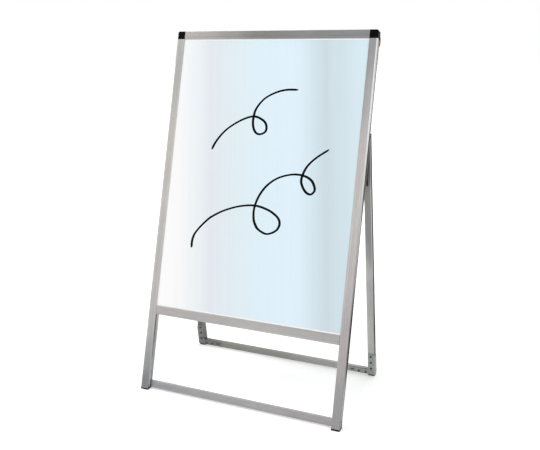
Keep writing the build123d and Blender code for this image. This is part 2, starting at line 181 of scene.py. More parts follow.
# camera at the photograph's viewing angle
cameraView = {
    # mm and degrees
    "target": (7.37, 52.19, 585.53),
    "yaw": 23.68,  # to the right of the board's front
    "pitch": 12.06,
    "roll": -0.093,
    "distance": 2206.8,
    "lens": 47.55,
    "sensor": 36.0,
    "shift": -0.0479,  # share of the sensor's width
    "clipEnd": 200.0,  # m
}


def placeCamera(view):
    yaw, pitch = math.radians(view["yaw"]), math.radians(view["pitch"])
    back = Vector((math.sin(yaw) * math.cos(pitch), -math.cos(yaw) * math.cos(pitch), math.sin(pitch)))
    data = bpy.data.cameras.new("camera")
    data.lens = view["lens"]
    data.sensor_width = view["sensor"]
    data.shift_y = view["shift"]
    data.clip_end = view["clipEnd"]
    camera = addObject("camera", data)
    turn = back.to_track_quat("Z", "Y").to_matrix().to_4x4()
    roll = Matrix.Rotation(math.radians(view["roll"]), 4, "Z")
    place = (Vector(view["target"]) + back * view["distance"]) * mm
    camera.matrix_world = Matrix.Translation(place) @ turn @ roll
    bpy.context.scene.camera = camera


placeCamera(cameraView)
print("camera placed")

studio = {
    "floorColour": "#F2F2F2",
    "floorReach": 40.0,  # m each way
    "floorDrop": 0.0003,  # m below the soles, so that no two faces lie in one plane
    "floorGlow": (0.32, 1.0),  # pale glow near and far, which only the camera and reflections see
    "glowReach": (1.0, 3.5),  # m from the middle
    "ambient": 0.56,  # strength of the light from all round
    "aim": (0, 0, 0.55),  # m, where the lamps point
    "lamps": [
        # name, place in m, size in m, power in W
        ("key", (-4.6, -3.0, 6.0), 3.6, 200.0),
        ("fill", (5.5, -4.5, 2.0), 3.0, 90.0),
        ("top", (0.4, 1.0, 5.6), 4.0, 62.0),
        ("behind", (1.4, 5.2, 3.0), 3.5, 60.0),
    ],
}


def seenRays(tree):
    # camera, mirror and see-through rays
    path = addNode(tree, "LightPath").outputs
    both = addNode(tree, "Math", [path["Is Camera Ray"], path["Is Glossy Ray"]], operation="MAXIMUM")
    return addNode(tree, "Math", [both, path["Is Transmission Ray"]], operation="MAXIMUM")


def lightWorld(settings):
    # those rays see plain white, and all others a softer light
    world = bpy.data.worlds.new("studio")
    bpy.context.scene.world = world
    world.use_nodes = True
    tree = world.node_tree
    tree.nodes.clear()
    seen = addNode(tree, "Background", [(1, 1, 1, 1), 1.0])
    soft = addNode(tree, "Background", [(1, 1, 1, 1), settings["ambient"]])
    addNode(tree, "OutputWorld", {"Surface": addNode(tree, "MixShader", [seenRays(tree), soft, seen])})


def layFloor(settings):
    # matt, so that it keeps the shadow, with the glow that carries it into the white
    reach = settings["floorReach"]
    mesh = bpy.data.meshes.new("floor")
    corners = [(-reach, -reach, 0), (reach, -reach, 0), (reach, reach, 0), (-reach, reach, 0)]
    mesh.from_pydata(corners, [], [(0, 1, 2, 3)])
    floor = addObject("floor", mesh)
    floor.location.z = -settings["floorDrop"]
    material, tree = newMaterial("palePaintedFloor")
    matt = addNode(tree, "BsdfDiffuse", [hexToLinear(settings["floorColour"])])
    spot = addNode(tree, "TexCoord").outputs["Object"]
    away = addNode(tree, "VectorMath", [spot], operation="LENGTH")
    lift = addNode(tree, "MapRange", [away, *settings["glowReach"], *settings["floorGlow"]])
    seenLift = addNode(tree, "Math", [seenRays(tree), lift], operation="MULTIPLY")
    glow = addNode(tree, "Emission", {"Strength": seenLift})
    addNode(tree, "OutputMaterial", {"Surface": addNode(tree, "AddShader", [matt, glow])})
    mesh.materials.append(material)


def hangLamps(settings):
    for name, place, size, power in settings["lamps"]:
        data = bpy.data.lights.new(name, "AREA")
        data.shape = "DISK"
        data.size = size
        data.energy = power
        lamp = addObject(name, data)
        lamp.location = place
        lamp.rotation_euler = (Vector(place) - Vector(settings["aim"])).to_track_quat("Z", "Y").to_euler()


lightWorld(studio)
layFloor(studio)
hangLamps(studio)
bpy.context.scene.view_settings.view_transform = "Standard"
print("studio lit")

# Silver anodised aluminium, extruded: the die leaves fine lines along the bar, the anodising a satin
# grey that shifts a little in tone from end to end, partly painted reflection and shade, and the long
# edges carry a painted highlight.
anodised = {
    "patterns": {
        # size: mm across the bar and along it; shade: darkest and lightest
        "dieLines": {  # real ones are about 0.3 mm apart, drawn coarser so that they show
            "size": (4.0, 700.0), "noise": {"Detail": 3.0, "Roughness": 0.6}, "shade": (0.894, 1.086),
        },
        "rubbedFlecks": {
            "size": (4.5, 26.0), "noise": {"Detail": 2.0, "Roughness": 0.6}, "shade": (0.95, 1.05),
        },
        "clouds": {
            "size": (70.0, 70.0), "noise": {"Detail": 3.0, "Roughness": 0.55}, "shade": (0.975, 1.025),
        },
    },
    "lineBump": {"Strength": 0.12, "Distance": 0.4 * mm},
    "roughness": (0.32, 0.40),
    "anisotropy": 0.35,
    "edgeRadius": 1.3,  # mm
    "edgeGain": 7.0,  # how sharply the painted edge highlight sets in
    "edgeColour": "#EDEDEB",
    "edgeShine": 0.75,  # share of that colour, a painted highlight, on an edge; less on the bars that have their own
}
# places in mm in the front frame, and for the legs and the rear rail from the hinge line
edgeX = stand["frameWidth"] / 2
railX = edgeX - stand["stileFace"]
topZ = stand["slopeLength"]
lowZ = stand["railBottom"]
rearX = stand["rearWidth"] / 2
rearRailX = 302.0
legZ = (-785.0, 14.0)
barGroove = between("Y", 8.0, 20.0, 0.1)
stileGroove = between("apart", edgeX - 3.2, edgeX - 0.1, 0.1) + barGroove
topGroove = between("Z", topZ - 3.2, topZ - 0.1, 0.1) + barGroove
middleGroove = between("Z", lowZ + 0.1, lowZ + 3.2, 0.1) + barGroove
legGroove = between("apart", rearX - 3.2, rearX - 0.1, 0.1) + between("Y", -5.5, 5.5, 0.1)
slotWall = between("apart", railX + 0.2, railX + 15.2, 0.2) + between("Y", 1.7, 11.4, 0.2)
bracketSlot = between("apart", 241.8, 256.2, 0.2) + between("Z", -781.3, -776.7, 0.2)
stileSide = ("X", edgeX - 3.4, edgeX - 3.2)
legSide = ("X", rearX - 3.4, rearX - 3.2)
# painted light on the walls of the slot that takes the board, brighter low down
paintedSlotLight = [
    {"tone": "#B4B4B4", "limits": slotWall},
    {"tone": "#FFFFFF", "limits": slotWall + [("Z", 230, 20)]},
]


def grooveShade(limits):
    # dust and shade in the long groove
    return {"tone": "#4A4B4C", "amount": 0.5, "limits": limits}


def jointLine(end):
    # hairline where the rail's end meets the upright
    return {"tone": "#55565A", "amount": 0.8, "limits": [("apart", end - 1.1, end - 0.5)]}


# tones: along the bar, from end to end, partly painted reflection and shade; across: axis, two places and
# the painted shading at each; patches: marks of their own tone, laid on in turn
bars = {
    "left_stile": {
        "space": frontSpace, "along": "Z", "range": (0, topZ),
        "tones": [
            (0.02, "#7F7F82"), (0.07, "#8F9091"), (0.2, "#ABA9A9"), (0.34, "#B3B1AF"), (0.5, "#B5B3B1"),
            (0.7, "#B8B7B1"), (0.95, "#A4A3A0"),
        ],
        "across": ("X", -edgeX, -edgeX + 9.0, 1.05, 0.995),
        "patches": [grooveShade(stileGroove), *paintedSlotLight],
    },
    "right_stile": {
        "space": frontSpace, "along": "Z", "range": (0, topZ),
        "tones": [
            (0.07, "#939292"), (0.22, "#A59FA0"), (0.38, "#B3AEAD"), (0.53, "#B8B6B3"), (0.68, "#BAB4B3"),
            (0.83, "#A3A1A1"), (0.95, "#939294"),
        ],
        "across": ("X", railX, edgeX, 1.02, 0.985),
        "edgeShine": 0.08,
        "patches": [
            {   # painted reflection: the outer side mirrors the room, darker and brighter by turns
                "tones": [
                    (0.11, "#989898"), (0.17, "#6A6A6A"), (0.22, "#484848"), (0.29, "#3A3A3A"),
                    (0.45, "#848484"), (0.51, "#969696"), (0.57, "#747474"), (0.67, "#8C8C8C"),
                    (0.82, "#B4B4B2"), (0.93, "#B0B0AE"),
                ],
                "limits": [stileSide, ("Y", 0.7, 1.2)],
            },
            {   # painted reflection on the rear half of that side, with lights and darks of its own
                "tones": [
                    (0.1, "#C4C4C4"), (0.16, "#5A5A5A"), (0.27, "#606060"), (0.37, "#BCBCBC"),
                    (0.5, "#C4C4C2"), (0.565, "#808080"), (0.72, "#808080"), (0.78, "#C8C8C6"),
                    (0.95, "#C0C0BE"),
                ],
                "limits": [stileSide, ("Y", 6.0, 12.0)],
            },
            {   # painted highlight in a strip down the front's outer edge
                "tone": "#D4D4D2",
                "limits": [
                    ("X", edgeX - 3.9, edgeX - 3.3), ("X", edgeX + 0.1, edgeX - 0.5),
                    ("Z", 590, 860), ("Y", 1.0, 0.6),
                ],
            },
            {   # painted shade on the front corner lower down
                "tone": "#6E6E6E", "amount": 0.75,
                "limits": [("X", edgeX - 1.3, edgeX - 0.7), ("Z", 660, 560), ("Y", 2.4, 1.4)],
            },
            *paintedSlotLight,
        ],
    },
    "top_rail": {
        "space": frontSpace, "along": "X", "range": (-railX, railX),
        "tones": [
            (0.0, "#9A9793"), (0.12, "#94918D"), (0.26, "#888682"), (0.42, "#777673"), (0.7, "#808080"),
            (1.0, "#848586"),
        ],
        "across": ("Z", topZ - stand["stileFace"], topZ, 1.01, 0.99),
        "patches": [grooveShade(topGroove), jointLine(railX)],
    },
    "middle_rail": {
        "space": frontSpace, "along": "X", "range": (-railX, railX),
        "tones": [(0.0, "#A8A5A4"), (0.3, "#A6A4A2"), (0.6, "#ABA9A8"), (1.0, "#A4A2A1")],
        "across": ("Z", lowZ, lowZ + stand["railFace"], 1.03, 0.965),
        "patches": [grooveShade(middleGroove), jointLine(railX)],
    },
    "bottom_rail": {
        "space": frontSpace, "along": "X", "range": (-railX, railX),
        "tones": [(0.0, "#969698"), (0.5, "#9F9E9E"), (1.0, "#999797")],
        "across": ("Z", 7.0, 30.0, 0.985, 1.015),
        "patches": [jointLine(railX)],
    },
    "rear_rail": {
        "space": rearSpace, "along": "X", "range": (-rearRailX, rearRailX),
        "tones": [
            (0.0, "#72736E"), (0.18, "#84847E"), (0.4, "#898985"), (0.75, "#9F9F9D"), (0.92, "#A7A6A5"),
            (1.0, "#939596"),
        ],
        "across": ("Z", -785.0, -763.0, 1.04, 0.96),
        "patches": [
            jointLine(rearRailX),
            # grime and shade behind the corner brackets' long slots
            {"tone": "#1C1D1E", "amount": 0.9, "limits": bracketSlot + [("Y", -9.5, -10.5)]},
        ],
    },
    "left_rear_leg": {
        "space": rearSpace, "along": "Z", "range": legZ,
        "tones": [
            (0.0, "#585955"), (0.1, "#686966"), (0.16, "#8B8C8A"), (0.4, "#A3A3A0"), (1.0, "#A9A8A4"),
        ],
        "patches": [grooveShade(legGroove)],
    },
    "right_rear_leg": {
        "space": rearSpace, "along": "Z", "range": legZ,
        "tones": [
            (0.0, "#9FA3A1"), (0.12, "#A9A9A7"), (0.38, "#A6A6A5"), (0.47, "#BABAB8"), (0.56, "#B9B8B5"),
            (1.0, "#BAB9B4"),
        ],
        "across": ("X", rearX - stand["legFace"], rearX - 12.0, 1.05, 0.99),
        "edgeShine": 0.05,
        "patches": [
            {   # painted reflection on the outer side, as on the stile's
                "tones": [
                    (0.0, "#8A8A8A"), (0.12, "#8E8E8E"), (0.2, "#5E5E5E"), (0.29, "#767676"),
                    (0.66, "#7E7E7E"), (0.9, "#606060"), (1.0, "#6A6A6A"),
                ],
                "limits": [legSide, ("Y", -10.4, -9.8)],
            },
            {   # painted reflection, a little paler on its rear half
                "tones": [
                    (0.0, "#9A9A9A"), (0.12, "#8E8E8E"), (0.2, "#5E5E5E"), (0.29, "#828282"),
                    (0.66, "#8C8C8C"), (1.0, "#8C8C8C"),
                ],
                "limits": [legSide, ("Y", -3.0, 3.0)],
            },
            {   # painted shade where the leg's front nears the stile
                "tone": "#6C6D6B", "amount": 0.85,
                "limits": [("Z", -155, -105), ("Z", 90, -30), ("Y", -9.0, -10.0)],
            },
        ],
    },
}


def anodisedAluminium(name, bar, look):
    material, tree = newMaterial("anodisedAluminium_" + name)
    place = placeMm(tree, bar["space"])
    axes = axesOf(tree, place)
    shade = 1.0
    # painted shading across the bar's face
    if "across" in bar:
        axis, *ends = bar["across"]
        shade = addNode(tree, "MapRange", [axes[axis], *ends])
    noises = {}
    for key, pattern in look["patterns"].items():
        width, length = pattern["size"]
        sizes = (length, width, width) if bar["along"] == "X" else (width, width, length)
        spread = addNode(tree, "VectorMath", [place, sizes], operation="DIVIDE")
        noises[key] = addNode(tree, "TexNoise", {"Vector": spread, "Scale": 1.0, **pattern["noise"]})
        part = addNode(tree, "MapRange", [noises[key], *noiseSpan, *pattern["shade"]])
        shade = addNode(tree, "Math", [shade, part], operation="MULTIPLY")
    # tone along the bar, partly painted reflection and shade
    along = addNode(tree, "MapRange", [axes[bar["along"]], *bar["range"], 0.0, 1.0])
    tone = addNode(tree, "ValToRGB", [along], stops=bar["tones"])
    tone.color_ramp.interpolation = "EASE"
    colour = addNode(tree, "VectorMath", [tone, shade], operation="SCALE")
    # painted highlight along the edges
    edge = edgeMask(tree, look["edgeRadius"], look["edgeGain"], bar.get("edgeShine", look["edgeShine"]))
    colour = addNode(tree, "Mix", [edge, colour, hexToLinear(look["edgeColour"])], data_type="RGBA")
    for patch in bar["patches"]:
        mask = maskOf(tree, axes, patch.get("amount", 1.0), patch["limits"])
        if "tones" in patch:
            paint = addNode(tree, "ValToRGB", [along], stops=patch["tones"])
        else:
            paint = hexToLinear(patch["tone"])
        colour = addNode(tree, "Mix", [mask, colour, paint], data_type="RGBA")
    lines = noises["dieLines"]
    finishSurface(tree, {
        "Base Color": colour,
        "Metallic": 1.0,
        "Roughness": addNode(tree, "MapRange", [lines, *noiseSpan, *look["roughness"]]),
        "Anisotropic": look["anisotropy"],
        "Normal": addNode(tree, "Bump", {"Height": lines, **look["lineBump"]}),
    })
    return material


def dress(node, material):
    piece = frame["nodes"][node]
    piece.data.materials.clear()
    piece.data.materials.append(material)


for name, bar in bars.items():
    dress(name, anodisedAluminium(name, bar, anodised))
print("aluminium bars dressed")

# Porcelain enamelled steel, glossy: wipes clean, mirrors the room softly, and pale bands of painted
# reflection lean across it.
enamel = {
    "bandLean": 0.11,  # mm sideways per mm up the slope
    "bandRange": (-340.0, 340.0),  # mm across the board
    "bands": [
        (0.05, "#FDFDFD"), (0.12, "#F8F9FB"), (0.17, "#F0F5F8"), (0.215, "#ECF1F4"), (0.262, "#E4E9F1"),
        (0.35, "#E2EDF3"), (0.44, "#E1F0F6"), (0.53, "#E0F1FB"), (0.665, "#E0F2FD"), (0.69, "#DFF1FB"),
        (0.735, "#D9EBF4"), (0.775, "#D2E3EB"), (0.815, "#CCDBE2"), (0.855, "#D0E1E8"), (0.893, "#D2E3EB"),
        (0.965, "#D8EBF3"),
    ],
    "streakSize": (8.0, 900.0, 1.0),  # mm, thin streaks that wiping leaves along the bands
    "streakNoise": {"Scale": 1.0, "Detail": 3.0, "Roughness": 0.7},
    "streakShade": (0.982, 1.014),
    "smearSize": (160.0, 50.0, 45.0),  # broad patches that are a little less glossy
    "smearNoise": {"Scale": 1.0, "Detail": 4.0, "Roughness": 0.6},
    "peelNoise": {"Scale": 1 / 9.0, "Detail": 1.0, "Roughness": 0.4},  # the fired coat's orange peel, 9 mm
    "peelBump": {"Strength": 0.05, "Distance": 0.2 * mm},
    "rimWidth": 3.4,  # mm
    "rimBlur": 0.8,
    "rimColour": "#FFFFFF",
    "roughness": (0.16, 0.24),
    "gloss": {"IOR": 1.52, "Coat Weight": 0.3, "Coat Roughness": 0.08},
}


def enamelledSheet(look):
    material, tree = newMaterial("enamelledSteelSheet")
    place = placeMm(tree, frontSpace)
    axes = axesOf(tree, place)
    low, high = lowZ + stand["railFace"], topZ - stand["stileFace"]
    # painted reflection: pale bands leaning across the sheet
    raised = addNode(tree, "Math", [axes["Z"], (low + high) / 2], operation="SUBTRACT")
    across = addNode(tree, "Math", [raised, look["bandLean"], axes["X"]], operation="MULTIPLY_ADD")
    spread = addNode(tree, "MapRange", [across, *look["bandRange"], 0.0, 1.0])
    colour = addNode(tree, "ValToRGB", [spread], stops=look["bands"])
    leaning = addNode(tree, "CombineXYZ", [across, axes["Z"], 0.0])
    wiped = addNode(tree, "VectorMath", [leaning, look["streakSize"]], operation="DIVIDE")
    streaks = addNode(tree, "TexNoise", {"Vector": wiped, **look["streakNoise"]})
    shade = addNode(tree, "MapRange", [streaks, *noiseSpan, *look["streakShade"]])
    colour = addNode(tree, "VectorMath", [colour, shade], operation="SCALE")
    # painted light: a white rim beside the top and middle rails
    for railEdge, inwards in ((high, -1), (low, 1)):
        rimEdge = railEdge + inwards * look["rimWidth"]
        rim = maskOf(tree, axes, 1.0, [("Z", rimEdge + inwards * look["rimBlur"], rimEdge)])
        colour = addNode(tree, "Mix", [rim, colour, hexToLinear(look["rimColour"])], data_type="RGBA")
    smeared = addNode(tree, "VectorMath", [place, look["smearSize"]], operation="DIVIDE")
    smear = addNode(tree, "TexNoise", {"Vector": smeared, **look["smearNoise"]})
    peel = addNode(tree, "TexNoise", {"Vector": place, **look["peelNoise"]})
    finishSurface(tree, {
        **look["gloss"],
        "Base Color": colour,
        "Roughness": addNode(tree, "MapRange", [smear, *noiseSpan, *look["roughness"]]),
        "Normal": addNode(tree, "Bump", {"Height": peel, **look["peelBump"]}),
    })
    return material


dress("writing_sheet", enamelledSheet(enamel))

# Fibreboard core, pressed wood fibre: dull brown with short pale fibres, seen only inside the bars' slots.
fibreCore = {
    "fibreSize": (3.0, 0.6, 0.6),  # mm
    "fibreNoise": {"Scale": 1.0, "Detail": 4.0, "Roughness": 0.6},
    "fibreBump": {"Strength": 0.3, "Distance": 0.3 * mm},
    "tones": [(0.3, "#8A765C"), (0.7, "#B29C7E")],
    "roughness": 0.85,
}


def pressedFibreboard(look):
    material, tree = newMaterial("fibreboardCore")
    drawn = addNode(tree, "VectorMath", [placeMm(tree, frontSpace), look["fibreSize"]], operation="DIVIDE")
    fibres = addNode(tree, "TexNoise", {"Vector": drawn, **look["fibreNoise"]})
    finishSurface(tree, {
        "Base Color": addNode(tree, "ValToRGB", [fibres], stops=look["tones"]),
        "Roughness": look["roughness"],
        "Normal": addNode(tree, "Bump", {"Height": fibres, **look["fibreBump"]}),
    })
    return material


dress("board_core", pressedFibreboard(fibreCore))

# Galvanised steel back sheet, hot dipped: flat spangles about a centimetre wide, each a slightly
# different grey and feathered by its own crystal arms, under a few long rolling marks.
galvanised = {
    "spangleSize": (11.0, 11.0, 11.0),  # mm
    "bendNoise": {"Scale": 1 / 30.0, "Detail": 2.0, "Roughness": 0.5},  # bends the spangles' edges
    "tones": [(0.0, "#AAAFB1"), (0.5, "#B3B7B9"), (1.0, "#BBBFC1")],
    "armSize": (1.6, 40.0, 11.2),  # real arms are finer still, drawn coarser so that they show
    "armNoise": {"Scale": 1.0, "Detail": 3.0, "Roughness": 0.6},
    "armShade": (0.952, 1.048),
    "rollingSize": (5.0, 40.0, 600.0),  # long marks up the sheet
    "rollingNoise": {"Scale": 1.0, "Detail": 2.0, "Roughness": 0.5},
    "rollingShade": (0.98, 1.02),
    "roughness": (0.38, 0.46),
    "grainNoise": {"Scale": 1 / 4.0, "Detail": 3.0, "Roughness": 0.5},
    "grainBump": {"Strength": 0.06, "Distance": 0.3 * mm},
}


def galvanisedSheet(look):
    material, tree = newMaterial("galvanisedSteelSheet")
    place = placeMm(tree, frontSpace)
    bent = addNode(tree, "TexNoise", {"Vector": place, **look["bendNoise"]})
    scaled = addNode(tree, "VectorMath", [place, look["spangleSize"]], operation="DIVIDE")
    warped = addNode(tree, "VectorMath", [scaled, bent], operation="ADD")
    cells = addNode(tree, "TexVoronoi", {"Vector": warped, "Scale": 1.0}).outputs["Color"]
    pick = addNode(tree, "SeparateXYZ", [cells]).outputs
    tone = addNode(tree, "ValToRGB", [pick["X"]], stops=look["tones"])
    # each spangle's arms run its own way
    angle = addNode(tree, "Math", [pick["Y"], math.pi], operation="MULTIPLY")
    turned = addNode(tree, "VectorRotate", {"Vector": place, "Axis": (0, 1, 0), "Angle": angle})
    for key, start in (("arm", turned), ("rolling", place)):
        drawn = addNode(tree, "VectorMath", [start, look[key + "Size"]], operation="DIVIDE")
        pattern = addNode(tree, "TexNoise", {"Vector": drawn, **look[key + "Noise"]})
        shade = addNode(tree, "MapRange", [pattern, *noiseSpan, *look[key + "Shade"]])
        tone = addNode(tree, "VectorMath", [tone, shade], operation="SCALE")
    grain = addNode(tree, "TexNoise", {"Vector": place, **look["grainNoise"]})
    finishSurface(tree, {
        "Base Color": tone,
        "Metallic": 1.0,
        "Roughness": addNode(tree, "MapRange", [pick["X"], 0.0, 1.0, *look["roughness"]]),
        "Normal": addNode(tree, "Bump", {"Height": grain, **look["grainBump"]}),
    })
    return material


dress("board_back_sheet", galvanisedSheet(galvanised))
print("board dressed")

# grain: mm; the real ones are about 0.1 mm, drawn coarser so that they show
plastics = {
    # Black glass-filled nylon, injection moulded: the spark-eroded mould leaves a fine even grain with
    # hardly any shine, and the edges carry a little painted highlight.
    "black": {
        "name": "mouldedBlackNylon", "tones": ("#040405", "#0A0A0B"), "edge": "#1A1A1C",
        "grain": 1.1, "roughness": (0.42, 0.56), "specular": 0.03,
    },
    # Grey polypropylene, injection moulded: a softer, slightly waxy sheen, and edges paled by a painted
    # highlight.
    "grey": {
        "name": "mouldedGreyPolypropylene", "tones": ("#2C2E30", "#3A3C3F"), "edge": "#55575A",
        "grain": 1.3, "roughness": (0.48, 0.62), "specular": 0.3,
    },
    # Natural nylon, turned from rod: milky off-white, smoother than the moulded pieces.
    "nylon": {
        "name": "turnedNaturalNylon", "tones": ("#D9D7CD", "#E6E4DA"), "edge": "#EFEEE6",
        "grain": 1.0, "roughness": (0.38, 0.48), "specular": 0.5,
    },
}
plasticSurface = {
    "IOR": 1.53,
    "grainNoise": {"Detail": 3.0, "Roughness": 0.6},
    "grainBump": {"Strength": 0.25, "Distance": 0.12 * mm},
    "flowSize": (14.0, 14.0, 22.0),  # mm, faint clouds of the melt's flow
    "flowNoise": {"Scale": 1.0, "Detail": 2.0, "Roughness": 0.5},
    "flowShare": 0.5,
    "toneSpan": (0.35, 0.65),
    "edgeRadius": 0.8,
    "edgeGain": 5.0,
    "edgeShare": 0.6,
}


def mouldedPlastic(look, shared):
    material, tree = newMaterial(look["name"])
    place = placeMm(tree, frontSpace)
    grain = addNode(tree, "TexNoise", {
        "Vector": place, "Scale": 1 / look["grain"], **shared["grainNoise"],
    })
    drawn = addNode(tree, "VectorMath", [place, shared["flowSize"]], operation="DIVIDE")
    flow = addNode(tree, "TexNoise", {"Vector": drawn, **shared["flowNoise"]})
    both = addNode(tree, "Mix", [shared["flowShare"], grain, flow])
    colour = addNode(tree, "ValToRGB", [both], stops=list(zip(shared["toneSpan"], look["tones"])))
    # painted highlight along the edges
    edge = edgeMask(tree, shared["edgeRadius"], shared["edgeGain"], shared["edgeShare"])
    finishSurface(tree, {
        "IOR": shared["IOR"],
        "Specular IOR Level": look["specular"],
        "Base Color": addNode(tree, "Mix", [edge, colour, hexToLinear(look["edge"])], data_type="RGBA"),
        "Roughness": addNode(tree, "MapRange", [grain, *noiseSpan, *look["roughness"]]),
        "Normal": addNode(tree, "Bump", {"Height": grain, **shared["grainBump"]}),
    })
    return material


plasticOf = {key: mouldedPlastic(look, plasticSurface) for key, look in plastics.items()}
for side in ("left", "right"):
    for piece in ("corner_cap", "front_foot", "leg_cap"):
        dress(side + "_" + piece, plasticOf["black"])
    dress(side + "_rear_foot", plasticOf["grey"])
    dress(side + "_stay_rollers", plasticOf["nylon"])
dress("rail_keys", plasticOf["grey"])
dress("hinge_bushes", plasticOf["nylon"])
print("plastic pieces dressed")

# cloud: mm
steels = {
    # Zinc-plated pressed steel, blue-green passivated: a cloudy grey-green film, brighter where the
    # edges are sheared.
    "zincPlatedSteel": {
        "tones": [(0.3, "#7C837F"), (0.5, "#8F9693"), (0.7, "#A3A9A5")], "edge": "#C9CECB",
        "cloud": 9.0, "roughness": (0.32, 0.5),
    },
    # The corner brackets get a copy for each side: the left one darker and browner as painted shade, and a
    # little rougher.
    "dullZincPlatedSteel_left": {
        "tones": [(0.3, "#6C6D6A"), (0.5, "#777874"), (0.7, "#83847F")], "edge": "#8E8F8A",
        "cloud": 9.0, "roughness": (0.4, 0.58),
    },
    "dullZincPlatedSteel_right": {
        "tones": [(0.3, "#858B87"), (0.5, "#929894"), (0.7, "#9EA4A0")], "edge": "#B4B9B6",
        "cloud": 9.0, "roughness": (0.36, 0.54),
    },
    # Black-chromated steel screws and pins, cold headed: dark, with paler worn rims that carry a painted
    # glint.
    "blackChromatedSteel": {
        "tones": [(0.3, "#333537"), (0.7, "#4C4F51")], "edge": "#85888A",
        "cloud": 3.0, "roughness": (0.35, 0.5),
    },
}
plating = {
    "cloudNoise": {"Detail": 4.0, "Roughness": 0.6},
    # pits 0.9 mm apart, drawn coarser than real ones
    "pitNoise": {"Scale": 1 / 0.9, "Detail": 2.0, "Roughness": 0.5},
    "pitBump": {"Strength": 0.1, "Distance": 0.1 * mm},
    "edgeRadius": 0.7,
    "edgeGain": 5.0,
    "edgeShare": 0.7,
}


def platedSteel(name, look, shared):
    material, tree = newMaterial(name)
    place = placeMm(tree, frontSpace)
    clouds = addNode(tree, "TexNoise", {
        "Vector": place, "Scale": 1 / look["cloud"], **shared["cloudNoise"],
    })
    pits = addNode(tree, "TexNoise", {"Vector": place, **shared["pitNoise"]})
    colour = addNode(tree, "ValToRGB", [clouds], stops=look["tones"])
    edge = edgeMask(tree, shared["edgeRadius"], shared["edgeGain"], shared["edgeShare"])
    finishSurface(tree, {
        "Base Color": addNode(tree, "Mix", [edge, colour, hexToLinear(look["edge"])], data_type="RGBA"),
        "Metallic": 1.0,
        "Roughness": addNode(tree, "MapRange", [clouds, *noiseSpan, *look["roughness"]]),
        "Normal": addNode(tree, "Bump", {"Height": pits, **shared["pitBump"]}),
    })
    return material


steelOf = {name: platedSteel(name, look, plating) for name, look in steels.items()}
for side in ("left", "right"):
    for piece in ("hinge_bracket", "stay_lug", "stay"):
        dress(side + "_" + piece, steelOf["zincPlatedSteel"])
    dress(side + "_corner_bracket", steelOf["dullZincPlatedSteel_" + side])
    dress(side + "_stay_pin", steelOf["blackChromatedSteel"])
for piece in ("hinge_pins", "stay_rivets"):
    dress(piece, steelOf["blackChromatedSteel"])
print("steel pieces dressed")

# pan head screws with a true cross recess, each in its solid's place
screwKinds = {
    # axis: the number of the axis that they lie along
    # outward: the way the heads face, 0 for away from the middle
    "corner_bracket_screws": {"space": rearSpace, "axis": 1, "outward": -1, "body": "rear_frame"},
    "hinge_screws": {"space": frontSpace, "axis": 1, "outward": 1, "body": "front_frame"},
    "stay_lug_screws": {"space": frontSpace, "axis": 1, "outward": 1, "body": "front_frame"},
    "frame_screws": {"space": frontSpace, "axis": 0, "outward": 0, "body": "front_frame"},
}
panHead = {
    # mm; two values are at the middle of the cross and at the end of its arms
    "height": 2.1,
    "rounding": 1.45,
    "armReach": 2.1,
    "armWidth": (0.713, 0.558),  # to each side
    "armDepth": (1.5, 1.05),
    "armBlur": 0.22,
    "tipLength": 1.0,
    "tipTaper": 0.45,  # share of the shank's radius
    "flatRings": 9.6,  # ring gaps across the flat top, the last one a part of a gap
    "roundRings": 6,
    "turns": 48,
    "firstTurn": 11.0,  # degrees
    "nextTurn": 37.0,  # how much further each next screw stops
    "creaseAngle": 40.0,  # degrees
}
weldGap = 1e-5  # m, closer points are one


def middleOf(points):
    # height first, rounded so that level ones sort the same everywhere
    return [round(sum(p[i] for p in points) / len(points), 5) for i in (2, 0, 1)]


def looseParts(node):
    # corner points of each loose solid of a node
    work = bmesh.new()
    work.from_mesh(frame["nodes"][node].data)
    bmesh.ops.remove_doubles(work, verts=work.verts[:], dist=weldGap)
    left = set(work.verts)
    parts = []
    while left:
        queue = [left.pop()]
        found = list(queue)
        while queue:
            for edge in queue.pop().link_edges:
                for vert in edge.verts:
                    if vert in left:
                        left.discard(vert)
                        queue.append(vert)
                        found.append(vert)
        parts.append([v.co.copy() for v in found])
    work.free()
    return sorted(parts, key=middleOf)


def measureScrew(points, kind, look):
    # where a screw's head starts, facing outwards, then its head's and shank's radius and length in mm
    axis = kind["axis"]
    back = kind["space"].inverted()
    local = [back @ p for p in points]
    low = Vector([min(p[i] for p in local) for i in range(3)])
    high = Vector([max(p[i] for p in local) for i in range(3)])
    centre = (low + high) / 2
    outward = kind["outward"] or (1 if centre[axis] > 0 else -1)
    headEnd, tipEnd = (high, low) if outward > 0 else (low, high)
    headRadius = (high - low)[2] / 2 / mm
    shankRadius = -min((p - centre)[2] for p in local if abs(p[axis] - tipEnd[axis]) < weldGap) / mm
    length = (high - low)[axis] / mm - look["height"]
    base = centre.copy()
    base[axis] = headEnd[axis] - outward * look["height"] * mm
    normal = Vector([outward if i == axis else 0 for i in range(3)])
    turn = normal.to_track_quat("Z", "Y").to_matrix().to_4x4()
    return kind["space"] @ Matrix.Translation(base) @ turn, headRadius, shankRadius, length


def soft(value, low, high):
    t = min(max((value - low) / (high - low), 0.0), 1.0)
    return t * t * (3 - 2 * t)


def recessCut(x, y, radius, look):
    # how deep the cross goes at a point of the head's top
    reach, blur = look["armReach"], look["armBlur"]
    wide, deep = [a + (b - a) * radius / reach for a, b in (look["armWidth"], look["armDepth"])]
    inReach = 1 - soft(radius, reach - blur, reach + blur)
    inArm = 1 - soft(min(abs(x), abs(y)), wide - blur, wide + blur)
    return deep * inReach * inArm


